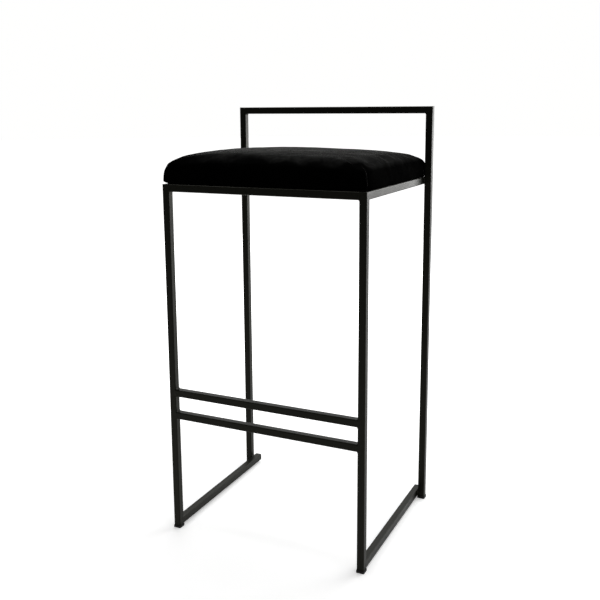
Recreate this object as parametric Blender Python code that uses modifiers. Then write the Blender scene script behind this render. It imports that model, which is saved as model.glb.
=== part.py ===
"""Bar stool with a low back bar, two footrest bars and an upholstered seat pad.

The frame is welded from one size of square steel tube. Each side is a C-shaped side frame: a seat rail,
a front leg and a floor runner, mitred together. An inverted U of two rear posts and a back bar stands
against the outside of the side frames. The seat pad is screwed to four corner tabs from below.

Metres, +Z up. The front of the stool faces -Y. The origin is on the floor, under the middle of the stool.
"""
import math

import bmesh
import bpy
from mathutils import Matrix, Vector

# Square tube
TUBE = 0.015
WALL = 0.0015
TUBE_RADIUS = 0.0018
BORE_RADIUS = 0.0006
CLEARANCE = 0.0003          # between neighbouring solids, where the real ones touch or are welded

# Frame
FOOTPRINT_DEPTH = 0.372     # over the front glides and the caps at the back
FRAME_WIDTH = 0.436         # over the two side frames, and the inside width between the posts
SEAT_HEIGHT = 0.740         # top of the seat frame
BACK_HEIGHT = 0.890         # top of the back bar
POST_SETBACK = 0.009        # rear faces of the posts in front of the rear ends of the runners
FOOTREST_HEIGHTS = {"footrest_bar_upper": 0.304, "footrest_bar_lower": 0.255}

# Feet and caps
GLIDE_WIDTH = 0.017
GLIDE_THICKNESS = 0.0045
GLIDE_PLUG_HEIGHT = 0.012
STEM_RADIUS = 0.0030
STEM_HEIGHT = 0.0060
CAP_THICKNESS = 0.0012
CAP_PLUG_DEPTH = 0.010
PLUG_WALL = 0.0016

# Seat pad
PAD_WIDTH = 0.433
PAD_DEPTH = 0.368
PAD_EDGE_HEIGHT = 0.052
PAD_CROWN = 0.0215
COVER_THICKNESS = 0.0012
OPENING_WIDTH = 0.398       # in the underside of the cover, inside its turned-under lip
OPENING_DEPTH = 0.334
BOARD_WIDTH = 0.415
BOARD_DEPTH = 0.350
BOARD_THICKNESS = 0.010
BOARD_CORNER = 0.024
FOAM_INSET = 0.0035         # cover to foam, taken up by soft wadding
LINING_THICKNESS = 0.0006
LIP_ROOM = 0.0014           # the lip of the cover is folded and gathered under the board

# Seat fixings
TAB = 0.028
TAB_THICKNESS = 0.003
TAB_CORNER_CUT = 0.012
SCREW_INSET = 0.013         # screw axis from the inner faces of the rails
SCREW_RADIUS = 0.0029
SCREW_LENGTH = 0.0125       # under the head
HEAD_RADIUS = 0.0060
HEAD_HEIGHT = 0.0033
SOCKET_RADIUS = 0.0023
SOCKET_DEPTH = 0.0020
TAB_HOLE_RADIUS = 0.0035
LINING_HOLE_RADIUS = 0.0050
NUT_BORE_RADIUS = 0.0032
NUT_BARREL_RADIUS = 0.0038
NUT_FLANGE_RADIUS = 0.0080
NUT_FLANGE_THICKNESS = 0.0012
NUT_BARREL_LENGTH = 0.0080

# Places worked out from the sizes above
GLIDE_LIP = (GLIDE_WIDTH - TUBE) / 2
HALF_TUBE = TUBE / 2
SIDE_X = FRAME_WIDTH / 2 - HALF_TUBE
POST_X = FRAME_WIDTH / 2 + CLEARANCE + HALF_TUBE
LEG_Y = -FOOTPRINT_DEPTH / 2 + GLIDE_LIP + HALF_TUBE
RAIL_END_Y = FOOTPRINT_DEPTH / 2 - CAP_THICKNESS - CLEARANCE
REAR_RAIL_Y = RAIL_END_Y - HALF_TUBE
POST_Y = FOOTPRINT_DEPTH / 2 - POST_SETBACK - HALF_TUBE
RUNNER_Z = GLIDE_THICKNESS + CLEARANCE + HALF_TUBE
SEAT_RAIL_Z = SEAT_HEIGHT - HALF_TUBE
PAD_BOTTOM = SEAT_HEIGHT + CLEARANCE
BOARD_BOTTOM = PAD_BOTTOM + COVER_THICKNESS + LIP_ROOM
BOARD_TOP = BOARD_BOTTOM + BOARD_THICKNESS
SCREW_X = FRAME_WIDTH / 2 - TUBE - SCREW_INSET
SCREW_FRONT_Y = LEG_Y + HALF_TUBE + SCREW_INSET
SCREW_REAR_Y = REAR_RAIL_Y - HALF_TUBE - SCREW_INSET
SIDES = {"left": -1, "right": 1}
ENDS = {"front": -1, "rear": 1}

UP = Vector((0, 0, 1))
BACK = Vector((0, 1, 0))
RIGHT = Vector((1, 0, 0))


# ---------------------------------------------------------------- scene and materials

def clear_scene():
    for obj in list(bpy.data.objects):
        bpy.data.objects.remove(obj, do_unlink=True)


def new_collection(name):
    collection = bpy.data.collections.new(name)
    bpy.context.scene.collection.children.link(collection)
    return collection


def new_material(name, color, roughness, metallic=0.0):
    material = bpy.data.materials.new(name)
    material.use_nodes = True
    shader = material.node_tree.nodes["Principled BSDF"]
    shader.inputs["Base Color"].default_value = (*color, 1.0)
    shader.inputs["Roughness"].default_value = roughness
    shader.inputs["Metallic"].default_value = metallic
    return material


clear_scene()
PARTS = new_collection("bar_stool")
CUTTERS = new_collection("cutters")
POWDER_COAT = new_material("powder_coat", (0.018, 0.018, 0.017), 0.45)
VELVET = new_material("velvet", (0.010, 0.010, 0.011), 0.95)
FOAM = new_material("foam", (0.80, 0.74, 0.55), 0.95)
PLYWOOD = new_material("plywood", (0.62, 0.46, 0.28), 0.70)
LINING = new_material("lining", (0.025, 0.025, 0.027), 0.95)
BLACK_PLASTIC = new_material("black_plastic", (0.020, 0.020, 0.020), 0.50)
ZINC = new_material("zinc", (0.62, 0.62, 0.60), 0.35, 1.0)


# ---------------------------------------------------------------- shared helpers

def add_part(name, mesh, material, matrix=None):
    obj = bpy.data.objects.new(name, mesh)
    mesh.materials.append(material)
    PARTS.objects.link(obj)
    if matrix is not None:
        obj.matrix_world = matrix
    return obj


def add_cutter(name, mesh, matrix=None):
    obj = bpy.data.objects.new(name, mesh)
    CUTTERS.objects.link(obj)
    obj.hide_render = True
    obj.display_type = "WIRE"
    if matrix is not None:
        obj.matrix_world = matrix
    return obj


def boolean(obj, cutter, operation="DIFFERENCE"):
    modifier = obj.modifiers.new(cutter.name, "BOOLEAN")
    modifier.operation = operation
    modifier.solver = "EXACT"
    modifier.object = cutter


def to_mesh(bm, name):
    bmesh.ops.recalc_face_normals(bm, faces=bm.faces)
    mesh = bpy.data.meshes.new(name)
    bm.to_mesh(mesh)
    bm.free()
    return mesh


def bar_mesh(name, width, length, radius, start_mitre=0.0, end_mitre=0.0):
    """A square bar along Z with rounded long edges. A mitre of 1 makes that end longer on its +X side."""
    bm = bmesh.new()
    bmesh.ops.create_cube(bm, size=1.0)
    bmesh.ops.scale(bm, vec=(width, width, length), verts=bm.verts)
    long_edges = [e for e in bm.edges if abs(e.verts[0].co.z - e.verts[1].co.z) > length / 2]
    bmesh.ops.bevel(bm, geom=long_edges, offset=radius, segments=3, profile=0.5, affect="EDGES")
    for vert in bm.verts:
        slope = end_mitre if vert.co.z > 0 else -start_mitre
        vert.co.z += slope * vert.co.x
    return to_mesh(bm, name)


def cylinder_mesh(name, radius, depth, segments=24):
    bm = bmesh.new()
    bmesh.ops.create_cone(bm, cap_ends=True, segments=segments, radius1=radius, radius2=radius, depth=depth)
    return to_mesh(bm, name)


def square_tube(name, start, end, long_side, start_mitre=0.0, end_mitre=0.0):
    """A hollow square tube between two points on its centre line.

    long_side is the side towards which a mitred end is longer. Each end stops short of its neighbour by
    half of the clearance where both are mitred, and by all of it where a square end meets a face.
    """
    start, end = Vector(start), Vector(end)
    axis = (end - start).normalized()
    half_gap = CLEARANCE / math.sqrt(2)
    start = start + axis * (half_gap if start_mitre else CLEARANCE)
    end = end - axis * (half_gap if end_mitre else CLEARANCE)
    length = (end - start).length
    across = axis.cross(long_side)
    matrix = Matrix((long_side, across, axis)).transposed().to_4x4()
    matrix.translation = (start + end) / 2
    mitres = (start_mitre, end_mitre)
    tube = add_part(name, bar_mesh(name, TUBE, length, TUBE_RADIUS, *mitres), POWDER_COAT, matrix)
    inside = TUBE - 2 * WALL
    bore_mesh = bar_mesh(name + "_bore", inside, length + TUBE, BORE_RADIUS, *mitres)
    boolean(tube, add_cutter(name + "_bore", bore_mesh, matrix))
    return tube


def turned(name, profile, material, matrix, steps=20):
    """A turned piece from a closed profile of (radius, height) points, listed down its outer side."""
    mesh = bpy.data.meshes.new(name)
    points = [(radius, 0.0, height) for radius, height in profile]
    edges = [(i, i + 1) for i in range(len(points) - 1)]
    if profile[0][0] > 0:
        edges.append((len(points) - 1, 0))
    mesh.from_pydata(points, edges, [])
    obj = add_part(name, mesh, material, matrix)
    screw = obj.modifiers.new("turn", "SCREW")
    screw.axis = "Z"
    screw.steps = steps
    screw.render_steps = steps
    screw.use_merge_vertices = True
    screw.merge_threshold = 0.00001
    return obj


# ---------------------------------------------------------------- frame

def build_side_frames():
    cap_face_y = FOOTPRINT_DEPTH / 2 - CAP_THICKNESS
    for side, sign in SIDES.items():
        x = sign * SIDE_X
        square_tube(
            "front_leg_" + side, (x, LEG_Y, RUNNER_Z), (x, LEG_Y, SEAT_RAIL_Z), -BACK, 1, 1)
        square_tube(
            "seat_rail_" + side, (x, LEG_Y, SEAT_RAIL_Z), (x, cap_face_y, SEAT_RAIL_Z), UP, 1, 0)
        runner = square_tube(
            "floor_runner_" + side, (x, LEG_Y, RUNNER_Z), (x, cap_face_y, RUNNER_Z), -UP, 1, 0)
        drill = cylinder_mesh("glide_hole_" + side, STEM_RADIUS + CLEARANCE, 2 * WALL)
        place = Matrix.Translation((x, LEG_Y, RUNNER_Z - HALF_TUBE + WALL / 2))
        boolean(runner, add_cutter("glide_hole_" + side, drill, place))


def build_back_frame():
    top = BACK_HEIGHT - HALF_TUBE
    for side, sign in SIDES.items():
        x = sign * POST_X
        square_tube(
            "rear_post_" + side, (x, POST_Y, GLIDE_THICKNESS), (x, POST_Y, top), sign * RIGHT, 0, 1)
    square_tube("back_bar", (-POST_X, POST_Y, top), (POST_X, POST_Y, top), UP, 1, 1)


def build_cross_rails():
    inner_x = SIDE_X - HALF_TUBE
    places = {"seat_rail_front": (LEG_Y, SEAT_RAIL_Z), "seat_rail_rear": (REAR_RAIL_Y, SEAT_RAIL_Z)}
    for name, height in FOOTREST_HEIGHTS.items():
        places[name] = (LEG_Y, height)
    for name, (y, z) in places.items():
        square_tube(name, (-inner_x, y, z), (inner_x, y, z), UP)


# ---------------------------------------------------------------- feet and caps

def add_plug(name, plate, thickness, depth, matrix):
    """A square plate on the matrix's XY plane, with a hollow square plug on it that fits a tube's bore."""
    plug = TUBE - 2 * WALL - 2 * CLEARANCE
    middle = matrix @ Matrix.Translation((0, 0, thickness / 2))
    body = add_part(name, bar_mesh(name, plate, thickness, TUBE_RADIUS), BLACK_PLASTIC, middle)
    outside = bar_mesh(name + "_plug", plug, depth, BORE_RADIUS)
    place = matrix @ Matrix.Translation((0, 0, thickness / 2 + depth / 2))
    boolean(body, add_cutter(name + "_plug", outside, place), "UNION")
    inside = bar_mesh(name + "_hollow", plug - 2 * PLUG_WALL, depth, BORE_RADIUS)
    place = matrix @ Matrix.Translation((0, 0, thickness + depth / 2))
    boolean(body, add_cutter(name + "_hollow", inside, place))


def build_rear_glides():
    for side, sign in SIDES.items():
        place = Matrix.Translation((sign * POST_X, POST_Y, 0))
        add_plug("foot_glide_rear_" + side, GLIDE_WIDTH, GLIDE_THICKNESS, GLIDE_PLUG_HEIGHT, place)


def build_front_glides():
    for side, sign in SIDES.items():
        name = "foot_glide_front_" + side
        base = Vector((sign * SIDE_X, LEG_Y, 0))
        middle = base + UP * GLIDE_THICKNESS / 2
        plate = bar_mesh(name, GLIDE_WIDTH, GLIDE_THICKNESS, TUBE_RADIUS)
        glide = add_part(name, plate, BLACK_PLASTIC, Matrix.Translation(middle))
        depth = STEM_HEIGHT + GLIDE_THICKNESS / 2
        stem = cylinder_mesh(name + "_stem", STEM_RADIUS, depth)
        place = Matrix.Translation(middle + UP * depth / 2)
        boolean(glide, add_cutter(name + "_stem", stem, place), "UNION")


def build_end_caps():
    heights = {"runner": RUNNER_Z, "seat_rail": SEAT_RAIL_Z}
    facing_front = Matrix.Rotation(math.radians(90), 4, "X")
    for part, z in heights.items():
        for side, sign in SIDES.items():
            place = Matrix.Translation((sign * SIDE_X, FOOTPRINT_DEPTH / 2, z)) @ facing_front
            add_plug("end_cap_" + part + "_" + side, TUBE, CAP_THICKNESS, CAP_PLUG_DEPTH, place)


# ---------------------------------------------------------------- seat fixings

def fixing_places():
    for end, row in ENDS.items():
        y = SCREW_FRONT_Y if row < 0 else SCREW_REAR_Y
        for side, sign in SIDES.items():
            yield end + "_" + side, sign * SCREW_X, y, sign, row


def build_seat_tabs():
    offset = SCREW_INSET - CLEARANCE - TAB / 2
    for label, x, y, sign, row in fixing_places():
        bm = bmesh.new()
        bmesh.ops.create_cube(bm, size=1.0)
        bmesh.ops.scale(bm, vec=(TAB, TAB, TAB_THICKNESS), verts=bm.verts)
        free_corner = [
            e for e in bm.edges
            if all(v.co.x * sign < 0 and v.co.y * row < 0 for v in e.verts)]
        bmesh.ops.bevel(bm, geom=free_corner, offset=TAB_CORNER_CUT, segments=1, affect="EDGES")
        name = "seat_tab_" + label
        middle = (x + sign * offset, y + row * offset, SEAT_HEIGHT - TAB_THICKNESS / 2)
        tab = add_part(name, to_mesh(bm, name), POWDER_COAT, Matrix.Translation(middle))
        hole = cylinder_mesh(name + "_hole", TAB_HOLE_RADIUS, 2 * TAB_THICKNESS)
        place = Matrix.Translation((x, y, SEAT_HEIGHT - TAB_THICKNESS / 2))
        boolean(tab, add_cutter(name + "_hole", hole, place))


def build_seat_screws():
    """Socket pan-head screws, head down, from under the tabs into the T-nuts."""
    head_top = -CLEARANCE
    head_bottom = head_top - HEAD_HEIGHT
    tip = head_top + SCREW_LENGTH
    profile = [
        (0.0, tip),
        (SCREW_RADIUS * 0.8, tip),
        (SCREW_RADIUS, tip - SCREW_RADIUS * 0.3),
        (SCREW_RADIUS, head_top),
        (HEAD_RADIUS, head_top),
        (HEAD_RADIUS, head_top - HEAD_HEIGHT * 0.45),
        (HEAD_RADIUS * 0.82, head_bottom + HEAD_HEIGHT * 0.12),
        (HEAD_RADIUS * 0.6, head_bottom),
        (0.0, head_bottom),
    ]
    for label, x, y, _sign, _row in fixing_places():
        name = "seat_screw_" + label
        place = Matrix.Translation((x, y, SEAT_HEIGHT - TAB_THICKNESS))
        screw = turned(name, profile, ZINC, place)
        socket = cylinder_mesh(name + "_socket", SOCKET_RADIUS, 2 * SOCKET_DEPTH, segments=6)
        recess = place @ Matrix.Translation((0, 0, head_bottom))
        boolean(screw, add_cutter(name + "_socket", socket, recess))


def build_t_nuts():
    """Flanged nuts let into the top of the seat board, flush with it."""
    profile = [
        (NUT_FLANGE_RADIUS, 0.0),
        (NUT_FLANGE_RADIUS, -NUT_FLANGE_THICKNESS),
        (NUT_BARREL_RADIUS, -NUT_FLANGE_THICKNESS),
        (NUT_BARREL_RADIUS, -NUT_BARREL_LENGTH),
        (NUT_BORE_RADIUS, -NUT_BARREL_LENGTH),
        (NUT_BORE_RADIUS, 0.0),
    ]
    for label, x, y, _sign, _row in fixing_places():
        turned("t_nut_" + label, profile, ZINC, Matrix.Translation((x, y, BOARD_TOP)))


# ---------------------------------------------------------------- seat pad

def plate_mesh(name, width, depth, thickness, corner):
    bm = bmesh.new()
    bmesh.ops.create_cube(bm, size=1.0)
    bmesh.ops.scale(bm, vec=(width, depth, thickness), verts=bm.verts)
    upright = [e for e in bm.edges if abs(e.verts[0].co.z - e.verts[1].co.z) > thickness / 2]
    bmesh.ops.bevel(bm, geom=upright, offset=corner, segments=4, profile=0.5, affect="EDGES")
    return to_mesh(bm, name)


def build_seat_board():
    mesh = plate_mesh("seat_board", BOARD_WIDTH, BOARD_DEPTH, BOARD_THICKNESS, BOARD_CORNER)
    board = add_part(
        "seat_board", mesh, PLYWOOD, Matrix.Translation((0, 0, BOARD_BOTTOM + BOARD_THICKNESS / 2)))
    for label, x, y, _sign, _row in fixing_places():
        hole = cylinder_mesh("board_hole_" + label, NUT_BARREL_RADIUS + CLEARANCE, 4 * BOARD_THICKNESS)
        boolean(board, add_cutter("board_hole_" + label, hole, Matrix.Translation((x, y, BOARD_TOP))))
        recess_depth = NUT_FLANGE_THICKNESS + CLEARANCE
        recess = cylinder_mesh("board_recess_" + label, NUT_FLANGE_RADIUS + CLEARANCE, 2 * recess_depth)
        boolean(board, add_cutter("board_recess_" + label, recess, Matrix.Translation((x, y, BOARD_TOP))))


def pad_cage(half_width, half_depth, bottom, edge_top, crown):
    """A coarse closed cage for Subdivision Surface: a box crowned on top, its outer rows near the edges."""
    bm = bmesh.new()
    bmesh.ops.create_cube(bm, size=2.0)
    bmesh.ops.subdivide_edges(bm, edges=bm.edges[:], cuts=3, use_grid_fill=True)
    for vert in bm.verts:
        x, y, z = vert.co
        x = math.copysign(0.93, x) if 0.4 < abs(x) < 0.6 else x
        y = math.copysign(0.92, y) if 0.4 < abs(y) < 0.6 else y
        z = -0.80 if -0.6 < z < -0.4 else z
        rise = crown * (1 - x * x) ** 0.5 * (1 - y * y) ** 0.5 if z > 0.9 else 0.0
        height = bottom + (z + 1) / 2 * (edge_top - bottom)
        vert.co = (x * half_width, y * half_depth, height + rise)
    return bm


def add_subdivision(obj):
    modifier = obj.modifiers.new("smooth", "SUBSURF")
    modifier.levels = 1
    modifier.render_levels = 1


def build_seat_foam():
    bottom = BOARD_TOP + CLEARANCE
    top = PAD_BOTTOM + PAD_EDGE_HEIGHT - FOAM_INSET
    bm = pad_cage(PAD_WIDTH / 2 - FOAM_INSET, PAD_DEPTH / 2 - FOAM_INSET, bottom, top, PAD_CROWN)
    add_subdivision(add_part("seat_foam", to_mesh(bm, "seat_foam"), FOAM))


def build_seat_cover():
    """The cover is a shell, open underneath inside the lip that is pulled round the board."""
    edge_top = PAD_BOTTOM + PAD_EDGE_HEIGHT
    bm = pad_cage(PAD_WIDTH / 2, PAD_DEPTH / 2, PAD_BOTTOM, edge_top, PAD_CROWN)
    cover = add_part("seat_cover", to_mesh(bm, "seat_cover"), VELVET)
    add_subdivision(cover)
    half_sizes = (PAD_WIDTH / 2 - COVER_THICKNESS, PAD_DEPTH / 2 - COVER_THICKNESS)
    bm = pad_cage(*half_sizes, PAD_BOTTOM + COVER_THICKNESS, edge_top - COVER_THICKNESS, PAD_CROWN)
    cavity = add_cutter("cover_cavity", to_mesh(bm, "cover_cavity"))
    add_subdivision(cavity)
    boolean(cover, cavity)
    thickness = 4 * COVER_THICKNESS
    opening = plate_mesh("cover_opening", OPENING_WIDTH, OPENING_DEPTH, thickness, BOARD_CORNER)
    boolean(cover, add_cutter("cover_opening", opening, Matrix.Translation((0, 0, PAD_BOTTOM))))


def build_dust_cover():
    """The lining stapled to the underside of the board, inside the lip of the cover."""
    sizes = (OPENING_WIDTH - 2 * CLEARANCE, OPENING_DEPTH - 2 * CLEARANCE, LINING_THICKNESS)
    middle = BOARD_BOTTOM - CLEARANCE - LINING_THICKNESS / 2
    mesh = plate_mesh("dust_cover", *sizes, BOARD_CORNER)
    lining = add_part("dust_cover", mesh, LINING, Matrix.Translation((0, 0, middle)))
    for label, x, y, _sign, _row in fixing_places():
        hole = cylinder_mesh("lining_hole_" + label, LINING_HOLE_RADIUS, TAB_THICKNESS)
        boolean(lining, add_cutter("lining_hole_" + label, hole, Matrix.Translation((x, y, middle))))


build_side_frames()
build_back_frame()
build_cross_rails()
build_rear_glides()
build_front_glides()
build_end_caps()
build_seat_tabs()
build_seat_screws()
build_t_nuts()
build_seat_board()
build_seat_foam()
build_seat_cover()
build_dust_cover()
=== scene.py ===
"""Looks of the bar stool with footrest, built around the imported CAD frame.

The tubes, glides, caps, tabs, screws, T-nuts and the seat board are the CAD nodes with finished materials.
Weld seams and fillets, the upholstered seat pad, and the stapled lining under it are made here. Metres, +Z
up, the front faces -Y.
"""

import math
import random

import bmesh
import bpy
import numpy as np
from mathutils import Matrix, Vector, noise


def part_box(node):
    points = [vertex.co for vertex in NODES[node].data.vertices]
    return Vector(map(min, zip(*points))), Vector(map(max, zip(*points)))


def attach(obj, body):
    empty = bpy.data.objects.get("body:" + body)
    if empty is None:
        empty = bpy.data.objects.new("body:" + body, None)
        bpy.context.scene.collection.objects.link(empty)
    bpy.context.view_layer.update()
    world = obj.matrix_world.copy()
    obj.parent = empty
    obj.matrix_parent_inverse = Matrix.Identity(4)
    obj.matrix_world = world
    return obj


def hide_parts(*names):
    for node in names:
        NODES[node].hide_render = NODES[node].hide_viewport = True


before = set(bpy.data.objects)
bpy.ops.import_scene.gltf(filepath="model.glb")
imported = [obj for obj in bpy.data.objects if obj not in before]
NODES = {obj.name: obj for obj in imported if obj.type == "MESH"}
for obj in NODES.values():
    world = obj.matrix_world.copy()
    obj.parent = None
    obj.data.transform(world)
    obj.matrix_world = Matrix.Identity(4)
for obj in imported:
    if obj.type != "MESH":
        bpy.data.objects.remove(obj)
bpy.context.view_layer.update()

SIDES = {"left": -1, "right": 1}

# ---------------------------------------------------------------- places, from the CAD boxes

PAD_LOW, PAD_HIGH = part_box("seat_cover")
BOARD_LOW, BOARD_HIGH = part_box("seat_board")
LINING_LOW, LINING_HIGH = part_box("dust_cover")
RAIL_LOW, RAIL_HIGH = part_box("seat_rail_right")

SEAT_Z = RAIL_HIGH.z                        # the top of the seat frame
HALF_TUBE = (RAIL_HIGH.x - RAIL_LOW.x) / 2
SEAT_CORNERS = ("front_left", "front_right", "rear_left", "rear_right")


# ---------------------------------------------------------------- node helpers

def add_node(tree, kind, inputs=None, **settings):
    """A node with its settings, and its inputs given as numbers, colours or the sockets that feed them."""
    node = tree.nodes.new(kind)
    for name, value in settings.items():
        setattr(node, name, value)
    for name, value in (inputs or {}).items():
        if isinstance(value, bpy.types.NodeSocket):
            tree.links.new(value, node.inputs[name])
        else:
            node.inputs[name].default_value = value
    return node


def new_material(name, constants):
    """A material and its Principled shader, with the values that are the same all over the surface."""
    material = bpy.data.materials.new(name)
    material.use_nodes = True
    shader = material.node_tree.nodes["Principled BSDF"]
    for socket, value in constants.items():
        shader.inputs[socket].default_value = value
    return material, material.node_tree, shader


def object_place(tree):
    """The point on the surface in metres: every piece has its origin at the origin of the frame."""
    return add_node(tree, "ShaderNodeTexCoord").outputs["Object"]


NOISE_LOW, NOISE_HIGH = 0.3, 0.7


def noise_value(tree, place, scale, detail=2.0, roughness=0.5, distortion=0.0):
    """A noise from 0 to 1, mostly between NOISE_LOW and NOISE_HIGH. Its scale is in waves per metre."""
    inputs = {
        "Vector": place, "Scale": scale, "Detail": detail, "Roughness": roughness, "Distortion": distortion}
    return add_node(tree, "ShaderNodeTexNoise", inputs).outputs["Fac"]


def remap(tree, value, low, high, to_low, to_high):
    """The range from low to high, spread over to_low to to_high and held there beyond its ends."""
    inputs = {
        "Value": value, "From Min": low, "From Max": high, "To Min": to_low, "To Max": to_high}
    return add_node(tree, "ShaderNodeMapRange", inputs).outputs["Result"]


def spread(tree, value, to_low, to_high):
    """Spreads a noise over a range of values."""
    return remap(tree, value, NOISE_LOW, NOISE_HIGH, to_low, to_high)


def math_node(tree, operation, first, second=0.0):
    """The value of a Math node, from numbers or the sockets that feed it."""
    node = add_node(tree, "ShaderNodeMath", operation=operation)
    for socket, value in zip(node.inputs, (first, second)):
        if isinstance(value, bpy.types.NodeSocket):
            tree.links.new(value, socket)
        else:
            socket.default_value = value
    return node.outputs["Value"]


def mix_colors(tree, factor, first, second):
    """The first colour where the factor is 0, and the second where it is 1."""
    node = add_node(tree, "ShaderNodeMix", data_type="RGBA")
    for index, value in ((0, factor), (6, first), (7, second)):
        if isinstance(value, bpy.types.NodeSocket):
            tree.links.new(value, node.inputs[index])
        else:
            opaque = value if index == 0 else (*value, 1.0)
            node.inputs[index].default_value = opaque
    return node.outputs[2]


def bump(tree, shader, *layers):
    """Layers of (height value, strength, distance in metres), the broadest first, for the shader's normal."""
    normal = None
    for height, strength, distance in layers:
        inputs = {"Height": height, "Strength": strength, "Distance": distance}
        if normal is not None:
            inputs["Normal"] = normal
        normal = add_node(tree, "ShaderNodeBump", inputs).outputs["Normal"]
    tree.links.new(normal, shader.inputs["Normal"])


# ---------------------------------------------------------------- materials

def powder_coat():
    """Matt black powder coat, with a fine orange peel and a few paler specks."""
    constants = {"Specular IOR Level": 0.17, "IOR": 1.5, "Specular Tint": (1.0, 1.0, 0.82, 1.0)}
    material, tree, shader = new_material("powder_coat_black", constants)
    place = object_place(tree)
    cloud = noise_value(tree, place, 9.0, 3.0)
    speckle = noise_value(tree, place, 900.0, 1.0)
    color = mix_colors(tree, cloud, (0.0021, 0.0022, 0.0012), (0.0038, 0.0039, 0.0026))
    fleck = remap(tree, speckle, 0.60, 0.75, 0.0, 0.5)
    color = mix_colors(tree, fleck, color, (0.012, 0.012, 0.011))
    tree.links.new(color, shader.inputs["Base Color"])
    tree.links.new(spread(tree, cloud, 0.33, 0.43), shader.inputs["Roughness"])
    peel = noise_value(tree, place, 420.0, 1.0)
    grain = noise_value(tree, place, 2400.0, 1.0)
    bump(tree, shader, (peel, 0.25, 0.0004), (grain, 0.20, 0.0001))
    return material


# Painted light on the velvet: its colour is grey high on the pad and behind a ragged line across it, and
# painted shade keeps the walls and the front black.
# The noise that makes the line ragged also brings it forward, by about half of its full reach.
PAINTED_LIGHT_LOW, PAINTED_LIGHT_HIGH = SEAT_Z + 0.034, SEAT_Z + 0.050
PAINTED_LIGHT_FRONT, PAINTED_LIGHT_REAR = -0.114, -0.080
PAINTED_LIGHT_RAGGED = 0.10


def velvet():
    """Black velvet with random patches of nap, grey with painted light high on the pad and at the back of its
    top, and black with painted shade on its walls and front.
    """
    constants = {
        "Roughness": 1.0, "Specular IOR Level": 0.0,
        "Sheen Weight": 0.46, "Sheen Roughness": 0.12, "Sheen Tint": (0.60, 0.60, 0.58, 1.0)}
    material, tree, shader = new_material("velvet_black", constants)
    place = object_place(tree)
    nap = noise_value(tree, place, 22.0, 2.5, 0.5, 0.5)
    pile = noise_value(tree, place, 1500.0, 2.0, 0.7)
    parts = add_node(tree, "ShaderNodeSeparateXYZ", {"Vector": place})
    # Painted light and shade: a mask by height and a mask by depth, which light the rear of the top and shade
    # the walls and the front.
    painted_light_by_height = remap(tree, parts.outputs["Z"], PAINTED_LIGHT_LOW, PAINTED_LIGHT_HIGH, 0.10, 1.0)
    ragged = math_node(tree, "MULTIPLY", noise_value(tree, place, 14.0, 3.0), PAINTED_LIGHT_RAGGED)
    depth = math_node(tree, "ADD", parts.outputs["Y"], ragged)
    painted_light_by_depth = remap(tree, depth, PAINTED_LIGHT_FRONT, PAINTED_LIGHT_REAR, 0.10, 1.0)
    patches = remap(tree, nap, 0.38, 0.62, 0.66, 1.0)
    stroke = noise_value(tree, place, 60.0, 3.0, 0.6, 0.8)
    stroked = math_node(tree, "MULTIPLY", patches, remap(tree, stroke, 0.44, 0.58, 0.72, 1.12))
    nap_tone_and_painted_light = math_node(tree, "MULTIPLY", stroked, math_node(tree, "MULTIPLY", painted_light_by_height, painted_light_by_depth))
    # The grey is painted light on the velvet. The near-black is its painted shade.
    color = mix_colors(tree, nap_tone_and_painted_light, (0.0003, 0.0003, 0.0003), (0.0180, 0.0180, 0.0175))
    tree.links.new(color, shader.inputs["Base Color"])
    bump(tree, shader, (nap, 0.40, 0.0020), (stroke, 0.30, 0.0006), (pile, 0.50, 0.0003))
    return material


def black_plastic():
    """The moulded glides and end caps, finely grained."""
    material, tree, shader = new_material("glide_plastic", {"Specular IOR Level": 0.4, "IOR": 1.47})
    place = object_place(tree)
    cloud = noise_value(tree, place, 60.0, 3.0)
    color = mix_colors(tree, cloud, (0.0040, 0.0040, 0.0040), (0.0080, 0.0080, 0.0076))
    tree.links.new(color, shader.inputs["Base Color"])
    tree.links.new(spread(tree, cloud, 0.48, 0.62), shader.inputs["Roughness"])
    grain = noise_value(tree, place, 1800.0, 2.0)
    bump(tree, shader, (grain, 0.35, 0.00015))
    return material


def zinc():
    """Zinc-plated steel of the screws, T-nuts and staples, a little cloudy."""
    material, tree, shader = new_material("zinc_plate", {"Metallic": 1.0})
    place = object_place(tree)
    cloud = noise_value(tree, place, 140.0, 4.0)
    color = mix_colors(tree, cloud, (0.45, 0.46, 0.47), (0.72, 0.72, 0.68))
    tree.links.new(color, shader.inputs["Base Color"])
    tree.links.new(spread(tree, cloud, 0.28, 0.45), shader.inputs["Roughness"])
    scratch = noise_value(tree, place, 2600.0, 2.0)
    bump(tree, shader, (scratch, 0.15, 0.0001))
    return material


PLY = 0.0016                # thickness of one veneer of the board; every other one has a darker edge
DARK_PLY = (0.0006, 0.0010)     # where an edge turns from light to dark, with the height folded at PLY


def plywood():
    """Long-grained veneer, with the plies showing at the edges of the board."""
    material, tree, shader = new_material("seat_plywood", {"Specular IOR Level": 0.3})
    place = object_place(tree)
    along = {0: place, 1: (4.0, 60.0, 60.0)}
    stretched = add_node(tree, "ShaderNodeVectorMath", along, operation="MULTIPLY").outputs["Vector"]
    grain = noise_value(tree, stretched, 3.0, 5.0, 0.6, 0.5)
    color = mix_colors(tree, grain, (0.36, 0.23, 0.12), (0.66, 0.49, 0.30))
    height = add_node(tree, "ShaderNodeSeparateXYZ", {"Vector": place}).outputs["Z"]
    dark = remap(tree, math_node(tree, "PINGPONG", height, PLY), *DARK_PLY, 0.0, 0.35)
    color = mix_colors(tree, dark, color, (0.22, 0.13, 0.07))
    tree.links.new(color, shader.inputs["Base Color"])
    tree.links.new(spread(tree, grain, 0.60, 0.78), shader.inputs["Roughness"])
    bump(tree, shader, (grain, 0.3, 0.0004))
    return material


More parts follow.
